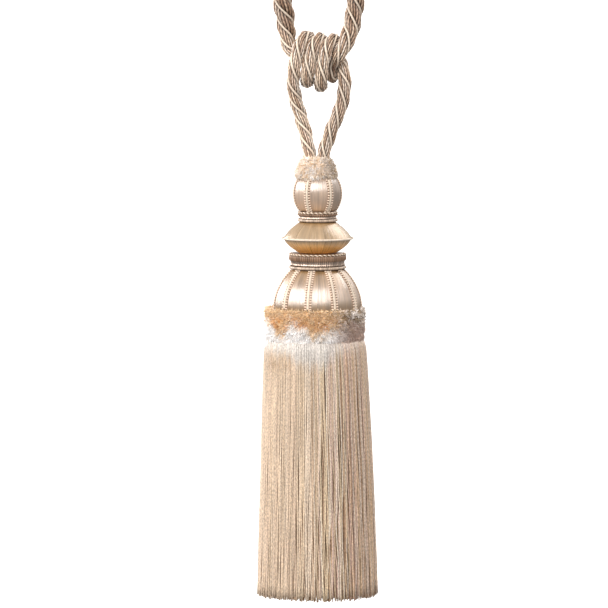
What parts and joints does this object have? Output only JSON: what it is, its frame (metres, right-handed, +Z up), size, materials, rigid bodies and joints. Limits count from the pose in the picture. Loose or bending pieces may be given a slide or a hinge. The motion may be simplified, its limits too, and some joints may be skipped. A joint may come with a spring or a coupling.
{
  "type": "curtain tieback tassel",
  "caption": "Hanging curtain tieback tassel: knotted twisted rope loop, turned head wound in satin with braid ribs, cut-pile ruffs and a long thread skirt.",
  "frame": {"origin": "under the crown of the rope's loop, where the tassel hangs on a hook or rod", "axes": "+Z up along the tassel's axis, -Y towards the front of the knot, +X to its right"},
  "size_m": [0.0682, 0.0682, 0.3689],
  "materials": {
    "rope_yarn": "plied rayon yarn, champagne taupe",
    "satin_thread": "thread-wound satin, champagne",
    "cream_braid": "woven braid with picot edges, cream",
    "ring_thread": "thread-wound bands, taupe",
    "satin_cord": "fine satin cord, pale cream",
    "cut_pile": "short cut pile, golden tan",
    "skirt_thread": "twisted rayon thread, champagne beige"
  },
  "bodies": {
    "root": {"rope": "rope_yarn", "ruff_top": "cut_pile", "ball": "satin_thread", "ball_rib_1": "cream_braid", "ball_rib_2": "cream_braid", "ball_rib_3": "cream_braid", "ball_rib_4": "cream_braid", "ball_rib_5": "cream_braid", "ball_rib_6": "cream_braid", "ring_small": "ring_thread", "ring_small_cord_top": "satin_cord", "ring_small_cord_foot": "satin_cord", "spindle": "satin_thread", "spindle_cord": "satin_cord", "ring_large": "ring_thread", "ring_large_cord_top": "satin_cord", "ring_large_cord_foot": "satin_cord", "dome": "satin_thread", "dome_rib_1": "cream_braid", "dome_rib_2": "cream_braid", "dome_rib_3": "cream_braid", "dome_rib_4": "cream_braid", "dome_rib_5": "cream_braid", "dome_rib_6": "cream_braid", "dome_rib_7": "cream_braid", "dome_rib_8": "cream_braid", "dome_rib_9": "cream_braid", "dome_rib_10": "cream_braid", "ruff_low": "cut_pile", "skirt": "skirt_thread"}
  },
  "joints": []
}
